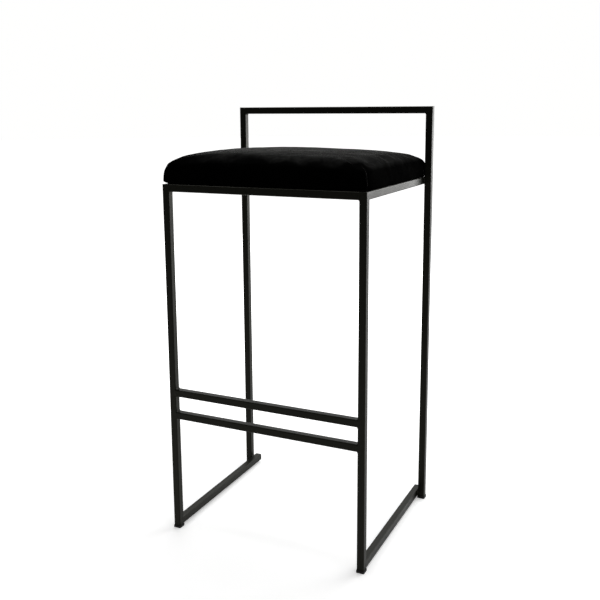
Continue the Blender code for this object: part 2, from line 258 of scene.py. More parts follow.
def lining():
    """Thin black non-woven cloth, with the close even dimples of its bonding."""
    constants = {"Specular IOR Level": 0.15, "Sheen Weight": 0.04}
    material, tree, shader = new_material("lining_nonwoven", constants)
    place = object_place(tree)
    cells = add_node(tree, "ShaderNodeTexVoronoi", {"Vector": place, "Scale": 520.0, "Randomness": 0.25})
    dimple = cells.outputs["Distance"]
    fibre = noise_value(tree, place, 700.0, 3.0, 0.7)
    color = mix_colors(tree, fibre, (0.012, 0.012, 0.013), (0.034, 0.034, 0.036))
    tree.links.new(color, shader.inputs["Base Color"])
    tree.links.new(spread(tree, fibre, 0.78, 0.95), shader.inputs["Roughness"])
    bump(tree, shader, (dimple, 0.6, 0.0004), (fibre, 0.4, 0.0002))
    return material


POWDER_COAT = powder_coat()
VELVET = velvet()
BLACK_PLASTIC = black_plastic()
ZINC = zinc()
PLYWOOD = plywood()
LINING = lining()

FINISHES = (
    (("glide", "end_cap"), BLACK_PLASTIC),
    (("screw", "t_nut"), ZINC),
    (("seat_board",), PLYWOOD),
    (("dust_cover",), LINING),
)


def finish_cad_nodes():
    """Gives each CAD node its finish by the words in its name: powder coat unless another fits."""
    for name, node in NODES.items():
        material = POWDER_COAT
        for words, finish in FINISHES:
            if any(word in name for word in words):
                material = finish
        node.data.materials.clear()
        node.data.materials.append(material)


# ---------------------------------------------------------------- pieces

def mesh_from(bm, name):
    """The mesh of a finished bmesh, which is freed."""
    mesh = bpy.data.meshes.new(name)
    bm.to_mesh(mesh)
    bm.free()
    return mesh


def add_piece(name, mesh, material):
    """A new object on the stool's one body, with its material and the name of its slot."""
    piece = bpy.data.objects.new(name, mesh)
    bpy.context.scene.collection.objects.link(piece)
    mesh.materials.clear()
    mesh.materials.append(material)
    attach(piece, "root")
    return piece


def apply_modifiers(obj):
    """Gives the object the mesh that its modifiers make, and removes them."""
    bpy.context.view_layer.update()
    graph = bpy.context.evaluated_depsgraph_get()
    mesh = bpy.data.meshes.new_from_object(obj.evaluated_get(graph), depsgraph=graph)
    obj.modifiers.clear()
    old = obj.data
    obj.data = mesh
    bpy.data.meshes.remove(old)


def cut_out(piece, cutters):
    """Cuts each cutter mesh out of a piece, after its other modifiers."""
    tools = []
    for mesh in cutters:
        tool = bpy.data.objects.new(mesh.name, mesh)
        bpy.context.scene.collection.objects.link(tool)
        cut = piece.modifiers.new(mesh.name, "BOOLEAN")
        cut.operation = "DIFFERENCE"
        cut.solver = "EXACT"
        cut.object = tool
        tools.append(tool)
    apply_modifiers(piece)
    for tool in tools:
        bpy.data.objects.remove(tool)


SHARP = math.radians(50)    # an edge with more than this turn stays sharp


def smooth_step(value):
    """0 up to 0, 1 from 1 on, and a smooth rise between them, also for a whole array."""
    t = np.clip(value, 0.0, 1.0)
    return t * t * (3.0 - 2.0 * t)


def points_of(mesh):
    """The mesh's points as an array, one row each."""
    points = np.empty(len(mesh.vertices) * 3)
    mesh.vertices.foreach_get("co", points)
    return points.reshape(-1, 3)


def normals_of(mesh):
    """The normals at the mesh's points, in the same way."""
    normals = np.empty(len(mesh.vertices) * 3)
    mesh.vertices.foreach_get("normal", normals)
    return normals.reshape(-1, 3)


def set_points(mesh, points):
    mesh.vertices.foreach_set("co", points.ravel())
    mesh.update()


# ---------------------------------------------------------------- welds

SEAM_HALF_WIDTH = 0.0012
SEAM_PROUD = 0.00012        # how far a ground seam stands over the tubes
SEAM_SUNK = 0.00006         # how far its edges go into them, and below that its root
SEAM_DEEP = 0.0005
BEAD = 0.0026               # leg of a fillet in a mitre's inner corner
POST_BEAD = 0.0030          # where a post's side meets a side frame
POST_EDGE_BEAD = 0.0014     # where a rail's top or bottom edge meets a post
STITCH_BEAD = 0.0022        # under the seat tabs
STITCH_FROM, STITCH_TO = 0.006, 0.020   # its ends, from the tab's outer corner
BEAD_STEP = 0.0004          # length of one piece of a bead
BEAD_ROOT = 0.0004          # how far a bead's skin goes into the corner
BEAD_TAPER = 0.0014         # how slowly its ends swell to the full size
BEAD_BULGE = 1.02           # its hollow face against a quarter circle, and the points along it
BEAD_ANGLES = (0.35, 0.79, 1.22)
OVERLAP = 0.0003            # how far a bead reaches past the edges that it joins
TUBE_ROUND = 0.0018         # corner radius of the tubes
RIPPLE = 0.0017             # from one ripple of a weld to the next
RIPPLE_EVEN, RIPPLE_UNEVEN = 0.10, 0.16     # shares of a weld's size
RIPPLE_NOISE = 420.0        # waves per metre
X, Y, Z = Vector((1, 0, 0)), Vector((0, 1, 0)), Vector((0, 0, 1))


def sweep(bm, stations, closed):
    """A closed skin through rings of points, joined end to end or capped."""
    rings = [[bm.verts.new(point) for point in ring] for ring in stations]
    pairs = list(zip(rings, rings[1:] + rings[:1])) if closed else list(zip(rings, rings[1:]))
    for first, second in pairs:
        for i, vert in enumerate(first):
            j = (i + 1) % len(first)
            bm.faces.new((vert, first[j], second[j], second[i]))
    if not closed:
        bm.faces.new(list(reversed(rings[0])))
        bm.faces.new(rings[-1])


def ripple(place, along):
    """How full a weld is at a point on it: even ripples, a little uneven."""
    even = RIPPLE_EVEN * math.sin(math.tau * along / RIPPLE)
    return 1.0 + even + RIPPLE_UNEVEN * noise.noise(Vector(place) * RIPPLE_NOISE)


def fillet(bm, start, end, side_a, side_b, size=BEAD):
    """A weld bead in the inner corner line from start to end, between faces that run off along two sides."""
    start, end = Vector(start), Vector(end)
    length = (end - start).length
    steps = max(6, round(length / BEAD_STEP))
    stations = []
    for i in range(steps + 1):
        along = length * i / steps
        place = start.lerp(end, i / steps)
        to_end = min(along, length - along)
        full = size * ripple(place, along) * min(1.0, 0.25 + (to_end / BEAD_TAPER) ** 0.5)
        round_full = full * BEAD_BULGE
        section = [(-BEAD_ROOT, -BEAD_ROOT), (-OVERLAP, full)]
        section += [(round_full * (1 - math.cos(t)), round_full * (1 - math.sin(t))) for t in BEAD_ANGLES]
        section.append((full, -OVERLAP))
        stations.append([place + side_a * a + side_b * b for a, b in section])
    sweep(bm, stations, False)


def square_outline(steps=9, corner_steps=4):
    """Points round a tube's section and the outward normals there, with the distance run so far."""
    flat = HALF_TUBE - TUBE_ROUND
    outline, run = [], 0.0
    for quarter in range(4):
        turn = Matrix.Rotation(math.radians(90 * quarter), 2)
        for i in range(steps):
            point = Vector((HALF_TUBE, flat * (2 * i / steps - 1)))
            outline.append((turn @ point, turn @ Vector((1, 0)), run))
            run += 2 * flat / steps
        for i in range(corner_steps):
            normal = Matrix.Rotation(math.radians(90 * i / corner_steps), 2) @ Vector((1, 0))
            point = Vector((flat, flat)) + normal * TUBE_ROUND
            outline.append((turn @ point, turn @ normal, run))
            run += math.radians(90) * TUBE_ROUND / corner_steps
    return outline


def mitre_seam(bm, corner, along_a, along_b):
    """The ground weld round a mitre where two tubes run off from a corner, at a right angle."""
    across = along_a.cross(along_b)
    stations = []
    for (u, w), (nu, nw), run in square_outline():
        place = corner + across * u - (along_a + along_b) * w
        normal_a = across * nu - along_b * nw
        normal_b = across * nu - along_a * nw
        middle = (normal_a + normal_b).normalized()
        proud = SEAM_PROUD * ripple(place, run)
        stations.append([
            place + along_a * SEAM_HALF_WIDTH - normal_a * SEAM_SUNK,
            place + along_a * SEAM_HALF_WIDTH * 0.5 + normal_a * proud * 0.8,
            place + middle * proud,
            place + along_b * SEAM_HALF_WIDTH * 0.5 + normal_b * proud * 0.8,
            place + along_b * SEAM_HALF_WIDTH - normal_b * SEAM_SUNK,
            place + along_b * SEAM_HALF_WIDTH * 0.5 - normal_b * SEAM_DEEP,
            place + along_a * SEAM_HALF_WIDTH * 0.5 - normal_a * SEAM_DEEP])
    sweep(bm, stations, True)


# Sections of the weld round a square tube's end: (distance from the face, height over the tube), point by
# point the same, so that one turns into the other round the tube.
FLUSH_SECTION = (
    (-0.0023, -0.00008), (-0.0014, 0.00008), (-0.0004, 0.00012), (0.0004, 0.00009), (0.0010, -0.00008),
    (0.0004, -0.0010), (-0.0012, -0.0010))
FILLET_SECTION = (
    (-0.0003, 0.0026), (0.0002, 0.0017), (0.0007, 0.0008), (0.0017, 0.0002), (0.0026, -0.0003),
    (0.0010, -0.0006), (-0.0003, -0.0006))


def butt_seam(bm, end, axis, flush_sides):
    """The weld round a tube's end that meets a face: ground on its flush sides, a fillet on the others."""
    first = Z if abs(axis.z) < 0.5 else X
    second = axis.cross(first)
    stations = []
    for (u, w), (nu, nw), run in square_outline():
        normal = first * nu + second * nw
        flush = max([smooth_step(normal.dot(side) * 2 - 0.75) for side in flush_sides])
        place = end + first * u + second * w
        full = ripple(place, run)
        ring = []
        for (distance, height), (flat_distance, flat_height) in zip(FILLET_SECTION, FLUSH_SECTION):
            distance, height = distance * full, height * full
            distance += (flat_distance - distance) * flush
            height += (flat_height - height) * flush
            ring.append(place + axis * distance + normal * height)
        stations.append(ring)
    sweep(bm, stations, True)


def finish_weld(bm, name):
    """Makes a piece from a weld's closed skins."""
    bmesh.ops.recalc_face_normals(bm, faces=bm.faces)
    weld = add_piece(name, mesh_from(bm, name), POWDER_COAT)
    weld.data.shade_smooth()


def build_mitre_welds():
    """A ground seam round each mitre of the side frames and the back frame, and a fillet in its corner."""
    for side, sign in SIDES.items():
        leg_low, leg_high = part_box("front_leg_" + side)
        leg = (leg_low + leg_high) / 2
        post_low, post_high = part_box("rear_post_" + side)
        post = (post_low + post_high) / 2
        runner_z = sum(corner.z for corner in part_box("floor_runner_" + side)) / 2
        rail_z = sum(corner.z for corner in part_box("seat_rail_" + side)) / 2
        bar_z = sum(corner.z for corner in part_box("back_bar")) / 2
        corners = (
            ("seat_corner_" + side, Vector((leg.x, leg.y, rail_z)), Y, -Z),
            ("foot_corner_" + side, Vector((leg.x, leg.y, runner_z)), Y, Z),
            ("back_corner_" + side, Vector((post.x, post.y, bar_z)), -sign * X, -Z))
        for name, corner, along_a, along_b in corners:
            bm = bmesh.new()
            mitre_seam(bm, corner, along_a, along_b)
            inner = corner + (along_a + along_b) * HALF_TUBE
            across = along_a.cross(along_b) * (HALF_TUBE - TUBE_ROUND * 0.6)
            fillet(bm, inner - across, inner + across, along_a, along_b)
            finish_weld(bm, "weld_" + name)


def build_rail_welds():
    """The welds at both ends of the front and rear seat rails and of the footrest bars."""
    flush = {
        "footrest_bar_upper": (Y, -Y), "footrest_bar_lower": (Y, -Y),
        "seat_rail_front": (Z, -Y), "seat_rail_rear": (Z, -Z, Y)}
    for name, flush_sides in flush.items():
        low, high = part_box(name)
        middle = (low + high) / 2
        for side, sign in SIDES.items():
            bm = bmesh.new()
            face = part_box("seat_rail_" + side)[0 if sign > 0 else 1].x
            butt_seam(bm, Vector((face, middle.y, middle.z)), -sign * X, flush_sides)
            finish_weld(bm, "weld_" + name + "_" + side)


def build_post_welds():
    """Fillets where each post stands against the outside of its side frame."""
    for side, sign in SIDES.items():
        out = sign * X
        low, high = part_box("rear_post_" + side)
        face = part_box("seat_rail_" + side)[1 if sign > 0 else 0].x
        for part in ("seat_rail_", "floor_runner_"):
            rail_low, rail_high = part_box(part + side)
            bottom, top = rail_low.z + TUBE_ROUND, rail_high.z - TUBE_ROUND
            bm = bmesh.new()
            for y, way in ((low.y + OVERLAP, -Y), (high.y - OVERLAP, Y)):
                fillet(bm, (face, y, bottom), (face, y, top), out, way, POST_BEAD)
            edges = ((rail_high.z, Z), (rail_low.z, -Z)) if part == "seat_rail_" else ((rail_high.z, Z),)
            for z, way in edges:
                ends = low.y + TUBE_ROUND, high.y - TUBE_ROUND
                fillet(bm, (face, ends[0], z), (face, ends[1], z), -out, way, POST_EDGE_BEAD)
            finish_weld(bm, "weld_post_" + part + side)


def build_tab_welds():
    """Short stitches under each seat tab, on both rails that it sits between."""
    for name in SEAT_CORNERS:
        low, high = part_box("seat_tab_" + name)
        in_x = -X if high.x > 0 else X
        in_y = -Y if high.y > 0 else Y
        corner = Vector((high.x if high.x > 0 else low.x, high.y if high.y > 0 else low.y, low.z))
        bm = bmesh.new()
        for along, across in ((in_x, in_y), (in_y, in_x)):
            fillet(bm, corner + along * STITCH_FROM, corner + along * STITCH_TO, -Z, across, STITCH_BEAD)
        finish_weld(bm, "weld_seat_tab_" + name)


# ---------------------------------------------------------------- seat pad

PAD_HALF = (PAD_HIGH.xy - PAD_LOW.xy) / 2
PAD_BOTTOM = PAD_LOW.z - 0.00018    # pressed down until it all but touches the rails

# The stuffed shape, before it swells. Heights are over the underside of the pad.
START_INSET = 0.0030        # the pad swells this much, so it starts smaller
CORNER_TOP = 0.0405
EDGE_RISE = 0.0100          # from a corner to the middle of an edge, and from there to the crown
CROWN_RISE = 0.0012
FULLER_LEFT = 0.0028        # how much higher the left side is stuffed than the middle
BULGE_SHAPE = 0.45          # below 0.5 a crown has a flatter middle and steeper ends than an ellipse
CAGE_ROWS = ((0.45, 0.94), (0.45, 0.93), (0.40, 0.80))  # inner and outer rows of the cage in x, y and z
VOXEL = 0.005

# The cover as cloth.
PRESSURE = 4.0
COVER_MASS = 0.3
COVER_STRETCH = 15.0
COVER_SHEAR = 5.0
COVER_BEND = 6.0
SWELL_FRAMES = 20
SWELL_CAP = 0.007           # how far a point may move
HELD_HEIGHT = 0.003         # the cover is held this far up, where it is stapled and lies on the frame

# The lower edge and the corners.
HEM_LOOSE = 0.010           # radius of the lower edge as it swells, and as the cover is pulled tight
HEM_TIGHT = 0.0035
WALL_FROM, WALL_OVER = 0.010, 0.028     # height from which the walls go back to their swollen shape
PRESSED, PRESSED_OVER = 0.0012, 0.012   # the weight of the pad flattens this much of its underside
CORNER_LIFT, LIFT_HEIGHT = 0.005, 0.030
LIFT_START, LIFT_OVER = 0.022, 0.018    # inside a pad's edge, where the corner begins to lift
CORNER_REACH = 0.060        # how far from an upright corner it is filled out, and by how much
CORNER_FILL = 0.65
FILL_LOW, FILL_RISE = 0.35, 0.006       # share of it at the lower edge, and the height where it is full
FILL_TOP, FILL_FADE = 0.022, 0.024      # height where it begins to fade, and over how much
DART_HEIGHT = 0.034
DART_OFFSET = 0.010         # from the corner at the pad's lower edge, more by DART_LEAN with height
DART_LEAN = 0.25
DART_WIDTH = 0.0030
DART_DEPTH = 0.0016
DART_FADE = 0.7             # below 1 a dart stays deep further up
DART_RIDGE = 0.45           # height of the ridge beside a dart, as a share of the dart's depth
DART_RIDGE_WIDTHS = 1.7     # how much nearer the corner it is, in widths of the dart
WALL_TURN, WALL_TURN_OVER = 0.55, 0.25  # share of the normal that faces sideways, where a wall begins
LOOSE_HEIGHT = 0.014        # the wadding is uneven above this, and flat where it is held at the bottom
UNEVEN = ((14.0, 0.0009), (38.0, 0.0004))   # waves per metre and height of the wadding's unevenness
ROOM = 0.0003               # left round the board and the lining
BOARD_CORNER = 0.024        # corner radius of the board, and of the opening in the cover's lip


def row_place(value, rows):
    """Moves a row of an even grid of seven to where the cage has it."""
    inner, outer = rows
    places = (0.0, inner, outer, 1.0)
    return math.copysign(places[round(abs(value) * 3)], value)


def pad_start():
    """The stuffed shape before its cover is blown taut: a box, crowned in the middle and along each edge."""
    bm = bmesh.new()
    bmesh.ops.create_cube(bm, size=2.0)
    bmesh.ops.subdivide_edges(bm, edges=bm.edges[:], cuts=5, use_grid_fill=True)
    half = PAD_HALF - Vector((START_INSET, START_INSET))
    for vert in bm.verts:
        x, y, z = (row_place(value, rows) for value, rows in zip(vert.co, CAGE_ROWS))
        bulge_x = max(0.0, 1 - x * x) ** BULGE_SHAPE
        bulge_y = max(0.0, 1 - y * y) ** BULGE_SHAPE
        rise = EDGE_RISE * (bulge_x + bulge_y) + CROWN_RISE * bulge_x * bulge_y - FULLER_LEFT * x
        top = CORNER_TOP - START_INSET + rise
        vert.co = (x * half.x, y * half.y, PAD_BOTTOM + (z + 1) / 2 * top)
    return mesh_from(bm, "seat_cushion")


def swell(pad):
    """Blows the closed cover up over its stuffing and holds it down where it lies on the frame."""
    start = points_of(pad.data).copy()
    held = pad.vertex_groups.new(name="held")
    flat = [int(i) for i in np.nonzero(start[:, 2] < PAD_BOTTOM + HELD_HEIGHT)[0]]
    held.add(flat, 1.0, "REPLACE")
    cloth = pad.modifiers.new("cover", "CLOTH")
    cloth.settings.quality = 5
    cloth.settings.mass = COVER_MASS
    cloth.settings.tension_stiffness = COVER_STRETCH
    cloth.settings.compression_stiffness = COVER_STRETCH
    cloth.settings.shear_stiffness = COVER_SHEAR
    cloth.settings.bending_stiffness = COVER_BEND
    cloth.settings.use_pressure = True
    cloth.settings.uniform_pressure_force = PRESSURE
    cloth.settings.effector_weights.gravity = 0.0
    cloth.settings.vertex_group_mass = "held"
    scene = bpy.context.scene
    for number in range(1, SWELL_FRAMES + 1):
        scene.frame_set(number)
    apply_modifiers(pad)
    scene.frame_set(1)
    pad.vertex_groups.clear()
    moved = points_of(pad.data) - start
    length = np.linalg.norm(moved, axis=1, keepdims=True)
    capped = SWELL_CAP * np.tanh(length / SWELL_CAP)
    set_points(pad.data, start + moved * capped / np.maximum(length, 1e-9))


def squeeze(value):
    """Draws the first HEM_LOOSE of a distance in to HEM_TIGHT, and makes up for it smoothly further on."""
    drawn = smooth_step(value / HEM_LOOSE) * (1.0 - smooth_step((value - HEM_LOOSE) / (3 * HEM_LOOSE)))
    return value - (HEM_LOOSE - HEM_TIGHT) * drawn


def tuck_hem(points):
    """Brings the walls out over the edge of the seat frame and pulls the cover tight round the lower edge."""
    half = np.abs(points[:, :2]).max(axis=0)
    points[:, :2] *= np.array(PAD_HALF) / half
    height = points[:, 2] - points[:, 2].min()
    near = 1.0 - smooth_step((height - WALL_FROM) / WALL_OVER)
    for axis in (0, 1):
        inside = PAD_HALF[axis] - np.abs(points[:, axis])
        tight = squeeze(inside)
        points[:, axis] = np.sign(points[:, axis]) * (PAD_HALF[axis] - inside - near * (tight - inside))
    corner = smooth_step((np.abs(points[:, 0]) - PAD_HALF.x + LIFT_START) / LIFT_OVER)
    corner = corner * smooth_step((np.abs(points[:, 1]) - PAD_HALF.y + LIFT_START) / LIFT_OVER)
    lift = CORNER_LIFT * corner * np.clip(1.0 - height / LIFT_HEIGHT, 0.0, 1.0)
    pressed = squeeze(height) - PRESSED * (1.0 - smooth_step(height / PRESSED_OVER)) + lift
    points[:, 2] = PAD_BOTTOM + np.maximum(pressed, 0.0)


def square_corners(points):
    """Draws the walls out towards each upright corner, most at mid height, where the stuffing fills it."""
    height = points[:, 2] - PAD_BOTTOM
    low = FILL_LOW + (1.0 - FILL_LOW) * smooth_step(height / FILL_RISE)
    full = low * (1.0 - smooth_step((height - FILL_TOP) / FILL_FADE))
    inset = np.array(PAD_HALF) - np.abs(points[:, :2])
    near = 1.0 - smooth_step(inset.max(axis=1) / CORNER_REACH)
    inset *= 1.0 - (CORNER_FILL * full * near)[:, None]
    points[:, :2] = np.sign(points[:, :2]) * (np.array(PAD_HALF) - inset)


def fold_corners(points, normals):
    """Two darts at each upright corner, where the fullness of the cover is folded in under the pad."""
    height = points[:, 2] - PAD_BOTTOM
    fade = np.clip(1.0 - height / DART_HEIGHT, 0.0, 1.0) ** DART_FADE
    for across, along in ((0, 1), (1, 0)):
        wall = smooth_step((np.abs(normals[:, across]) - WALL_TURN) / WALL_TURN_OVER)
        offset = PAD_HALF[along] - np.abs(points[:, along])
        middle = DART_OFFSET + DART_LEAN * height
        groove = np.exp(-((offset - middle) / DART_WIDTH) ** 2)
        ridge = np.exp(-((offset - middle + DART_RIDGE_WIDTHS * DART_WIDTH) / DART_WIDTH) ** 2)
        depth = DART_DEPTH * (DART_RIDGE * ridge - groove) * fade * wall
        points += normals * depth[:, None]


def soften(points, normals):
    """Low unevenness of the wadding under a soft pile."""
    loose = smooth_step((points[:, 2] - PAD_BOTTOM) / LOOSE_HEIGHT)
    for scale, amount in UNEVEN:
        uneven = np.array([noise.noise(Vector(point) * scale) for point in points])
        points += normals * (uneven * loose * amount)[:, None]


def cut_underside(pad):
    """Hollows the pad for its board, and opens the cover inside the lip that is stapled under the board."""
    board = (BOARD_HIGH - BOARD_LOW) / 2 + Vector((ROOM, ROOM, 0.0))
    lip = (LINING_HIGH - LINING_LOW) / 2 + Vector((ROOM, ROOM, 0.0))
    steps = (
        ("board_room", board, BOARD_LOW.z - ROOM, BOARD_HIGH.z + ROOM),
        ("lip_opening", lip, PAD_BOTTOM - 0.002, BOARD_HIGH.z - ROOM))
    cutters = []
    for name, half, low, high in steps:
        bm = bmesh.new()
        bmesh.ops.create_cube(bm, size=1.0)
        bmesh.ops.scale(bm, vec=(2 * half.x, 2 * half.y, high - low), verts=bm.verts)
        upright = [e for e in bm.edges if abs(e.verts[0].co.z - e.verts[1].co.z) > 0.001]
        bmesh.ops.bevel(
            bm, geom=upright, offset=BOARD_CORNER, segments=6, profile=0.5, affect="EDGES")
        bmesh.ops.translate(bm, vec=(0.0, 0.0, (low + high) / 2), verts=bm.verts)
        cutters.append(mesh_from(bm, name))
    cut_out(pad, cutters)


def build_seat_cushion():
    """The pad: the stuffed shape is evened, swollen, pulled tight, darted, and cut out for its board."""
    pad = add_piece("seat_cushion", pad_start(), VELVET)
    rounding = pad.modifiers.new("rounding", "SUBSURF")
    rounding.levels = rounding.render_levels = 2
    remesh = pad.modifiers.new("even", "REMESH")
    remesh.mode = "VOXEL"
    remesh.voxel_size = VOXEL
    apply_modifiers(pad)
    swell(pad)
    finer = pad.modifiers.new("finer", "SUBSURF")
    finer.levels = finer.render_levels = 1
    apply_modifiers(pad)
    points = points_of(pad.data)
    tuck_hem(points)
    square_corners(points)
    set_points(pad.data, points)
    normals = normals_of(pad.data)
    soften(points, normals)
    fold_corners(points, normals)
    points[:, 2] = np.maximum(points[:, 2], PAD_BOTTOM)
    set_points(pad.data, points)
    cut_underside(pad)
    pad.data.shade_smooth()
    pad.data.set_sharp_from_angle(angle=SHARP)
    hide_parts("seat_cover", "seat_foam")


# ---------------------------------------------------------------- lining under the seat

LINING_THICK = 0.00022      # the cloth itself
LINING_TOP = BOARD_LOW.z - 0.00035
LINING_GAP = 0.0004         # from there to the cloth where it hangs highest
LINING_INSET = 0.0002       # inside the edge of the plain lining it stands for
LINING_CORNER = 0.024
LINING_STEP = 0.005
LINING_SAG = 0.0012
LINING_WAVE, WAVE_SCALE = 0.0003, 9     # slow unevenness, and its waves per metre
LEAST_DROP = 0.00030        # away from the staples
LINING_HEM = 0.011          # turned under all round, and the height of the ridge that it makes
HEM_RIDGE = 0.00022
# The turned edge, ring by ring: how far out, how far back as a share of the hem, and how far up.
HEM_RINGS = ((0.00012, 0.0, 0.00014), (0.0, 0.0, 0.00028), (0.0, 0.5, 0.00028), (0.0, 1.0, 0.00028))
PUCKER = 0.00045            # depth of the loose cloth between staples, and how far it reaches in
PUCKER_REACH = 0.020
PUCKER_SCALE = 70           # waves per metre of its unevenness
STAPLE_GRIP = 0.0075        # how far round a staple the cloth is drawn up, and how much of the drop is left
STAPLE_SLACK = 0.12
STAPLE_INSET = 0.0055
STAPLE_PITCH = 0.036
STAPLE_FREE = 0.030         # left clear at each corner, where the seat tabs are
STAPLE_CROWN = 0.0100
STAPLE_SEED = 7
STAPLE_SLIDE, STAPLE_SHIFT = 0.0022, 0.0009     # most that a staple is off its place, along and across
STAPLE_TURN = 11            # and most that it is turned, in degrees
STAPLE_WIRE = (0.0006, 0.00025)     # half width and half height of the flat wire
STAPLE_AIR = 0.00003        # between the wire and the cloth
WIRE_SQUARE = 0.55          # 1 is an oval wire, less is squarer
SCREW_ROOM = 0.0046         # radius of the holes for the seat screws


def staple_places(half):
    """Where the staples are, with the way each one runs: along all four edges, a little uneven."""
    draw = random.Random(STAPLE_SEED)
    places = []
    for along, across in ((0, 1), (1, 0)):
        run = 2 * (half[along] - STAPLE_FREE)
        count = round(run / STAPLE_PITCH)
        for sign in (-1, 1):
            for i in range(count + 1):
                place = [0.0, 0.0]
                slide = draw.uniform(-STAPLE_SLIDE, STAPLE_SLIDE)
                place[along] = -run / 2 + run * i / count + slide
                shift = draw.uniform(-STAPLE_SHIFT, STAPLE_SHIFT)
                place[across] = sign * (half[across] - STAPLE_INSET + shift)
                angle = math.radians(90 * along + draw.uniform(-STAPLE_TURN, STAPLE_TURN))
                places.append((Vector(place), Vector((math.cos(angle), math.sin(angle)))))
    return places


def lining_drop(place, edge, half, staples):
    """How far the lining hangs below its highest place: a light sag, the hem, and puckers at the staples."""
    flat_x, flat_y = 1 - (place.x / half.x) ** 2, 1 - (place.y / half.y) ** 2
    drop = LINING_SAG * max(0.0, flat_x) ** 0.5 * max(0.0, flat_y) ** 0.5
    wave = noise.noise(Vector((place.x * WAVE_SCALE, place.y * WAVE_SCALE, 0.4)))
    drop += LINING_WAVE * (1.0 + wave)
    drop += HEM_RIDGE * float(smooth_step((LINING_HEM + 0.001 - edge) / 0.002))
    loose = 1.0
    for middle, _ in staples:
        loose *= 1.0 - math.exp(-((place - middle).length / STAPLE_GRIP) ** 2)
    slack = 1.0 + noise.noise(Vector((place.x * PUCKER_SCALE, place.y * PUCKER_SCALE, 2.0)))
    drop += PUCKER * slack * math.exp(-(edge / PUCKER_REACH) ** 2)
    return max(drop, LEAST_DROP) * (STAPLE_SLACK + (1.0 - STAPLE_SLACK) * loose)


def corner_offset(place, half):
    """How far out a point is from the centre of the nearest corner's rounding, along x and along y."""
    offset = Vector((abs(place.x) - half.x, abs(place.y) - half.y))
    return offset + Vector((LINING_CORNER, LINING_CORNER))


def round_corner(place, half):
    """Moves a point of a square-cornered grid into the rounded corner of the lining."""
    offset = corner_offset(place, half)
    if offset.x > 0 and offset.y > 0:
        offset *= max(offset) / offset.length
        offset -= Vector((LINING_CORNER, LINING_CORNER))
        return Vector((
            math.copysign(half.x + offset.x, place.x), math.copysign(half.y + offset.y, place.y)))
    return place


def edge_distance(place, half):
    """How far a point is inside the lining's edge."""
    offset = corner_offset(place, half)
    if offset.x > 0 and offset.y > 0:
        return LINING_CORNER - offset.length
    return LINING_CORNER - max(offset)


def turn_hem(bm, height_of, half):
    """Turns the edge of the lining up and back in over itself."""
    rim = [edge for edge in bm.edges if edge.is_boundary]
    outer = {vert: vert for edge in rim for vert in edge.verts}
    inward = {}
    for vert in outer:
        place = vert.co.xy
        centre = Vector((
            math.copysign(min(abs(place.x), half.x - LINING_CORNER), place.x),
            math.copysign(min(abs(place.y), half.y - LINING_CORNER), place.y)))
        inward[vert] = (centre - place).normalized()
    rings = [outer]
    for out, back, rise in HEM_RINGS:
        ring = {}
        for vert in outer:
            place = vert.co.xy + inward[vert] * (LINING_HEM * back - out)
            ring[vert] = bm.verts.new((*place, height_of(place) + rise))
        for edge in rim:
            first, second = edge.verts
            bm.faces.new((rings[-1][first], rings[-1][second], ring[second], ring[first]))
        rings.append(ring)


def build_seat_lining():
    """The lining: a fine grid shaped by lining_drop, with a turned hem, real thickness and screw holes."""
    half = Vector((LINING_HIGH.x, LINING_HIGH.y)) - Vector((LINING_INSET, LINING_INSET))
    staples = staple_places(half)

    def height_of(place):
        return LINING_TOP - LINING_GAP - lining_drop(place, edge_distance(place, half), half, staples)

    bm = bmesh.new()
    columns, rows = (round(2 * side / LINING_STEP) for side in half)
    bmesh.ops.create_grid(bm, x_segments=columns, y_segments=rows, size=1.0)
    for vert in bm.verts:
        place = round_corner(Vector((vert.co.x * half.x, vert.co.y * half.y)), half)
        vert.co = (*place, height_of(place))
    turn_hem(bm, height_of, half)
    bmesh.ops.recalc_face_normals(bm, faces=bm.faces)
    lining_piece = add_piece("seat_lining", mesh_from(bm, "seat_lining"), LINING)
    thick = lining_piece.modifiers.new("thick", "SOLIDIFY")
    thick.thickness = LINING_THICK
    thick.offset = 0.0
    cutters = []
    for name in SEAT_CORNERS:
        low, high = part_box("seat_screw_" + name)
        place = ((low.x + high.x) / 2, (low.y + high.y) / 2, LINING_TOP)
        bm = bmesh.new()
        bmesh.ops.create_cone(
            bm, cap_ends=True, segments=32, radius1=SCREW_ROOM, radius2=SCREW_ROOM, depth=0.02)
        bmesh.ops.translate(bm, vec=place, verts=bm.verts)
        cutters.append(mesh_from(bm, "screw_hole_" + name))
    cut_out(lining_piece, cutters)
    lining_piece.data.shade_smooth()
    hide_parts("dust_cover")
    build_staples(staples, height_of)


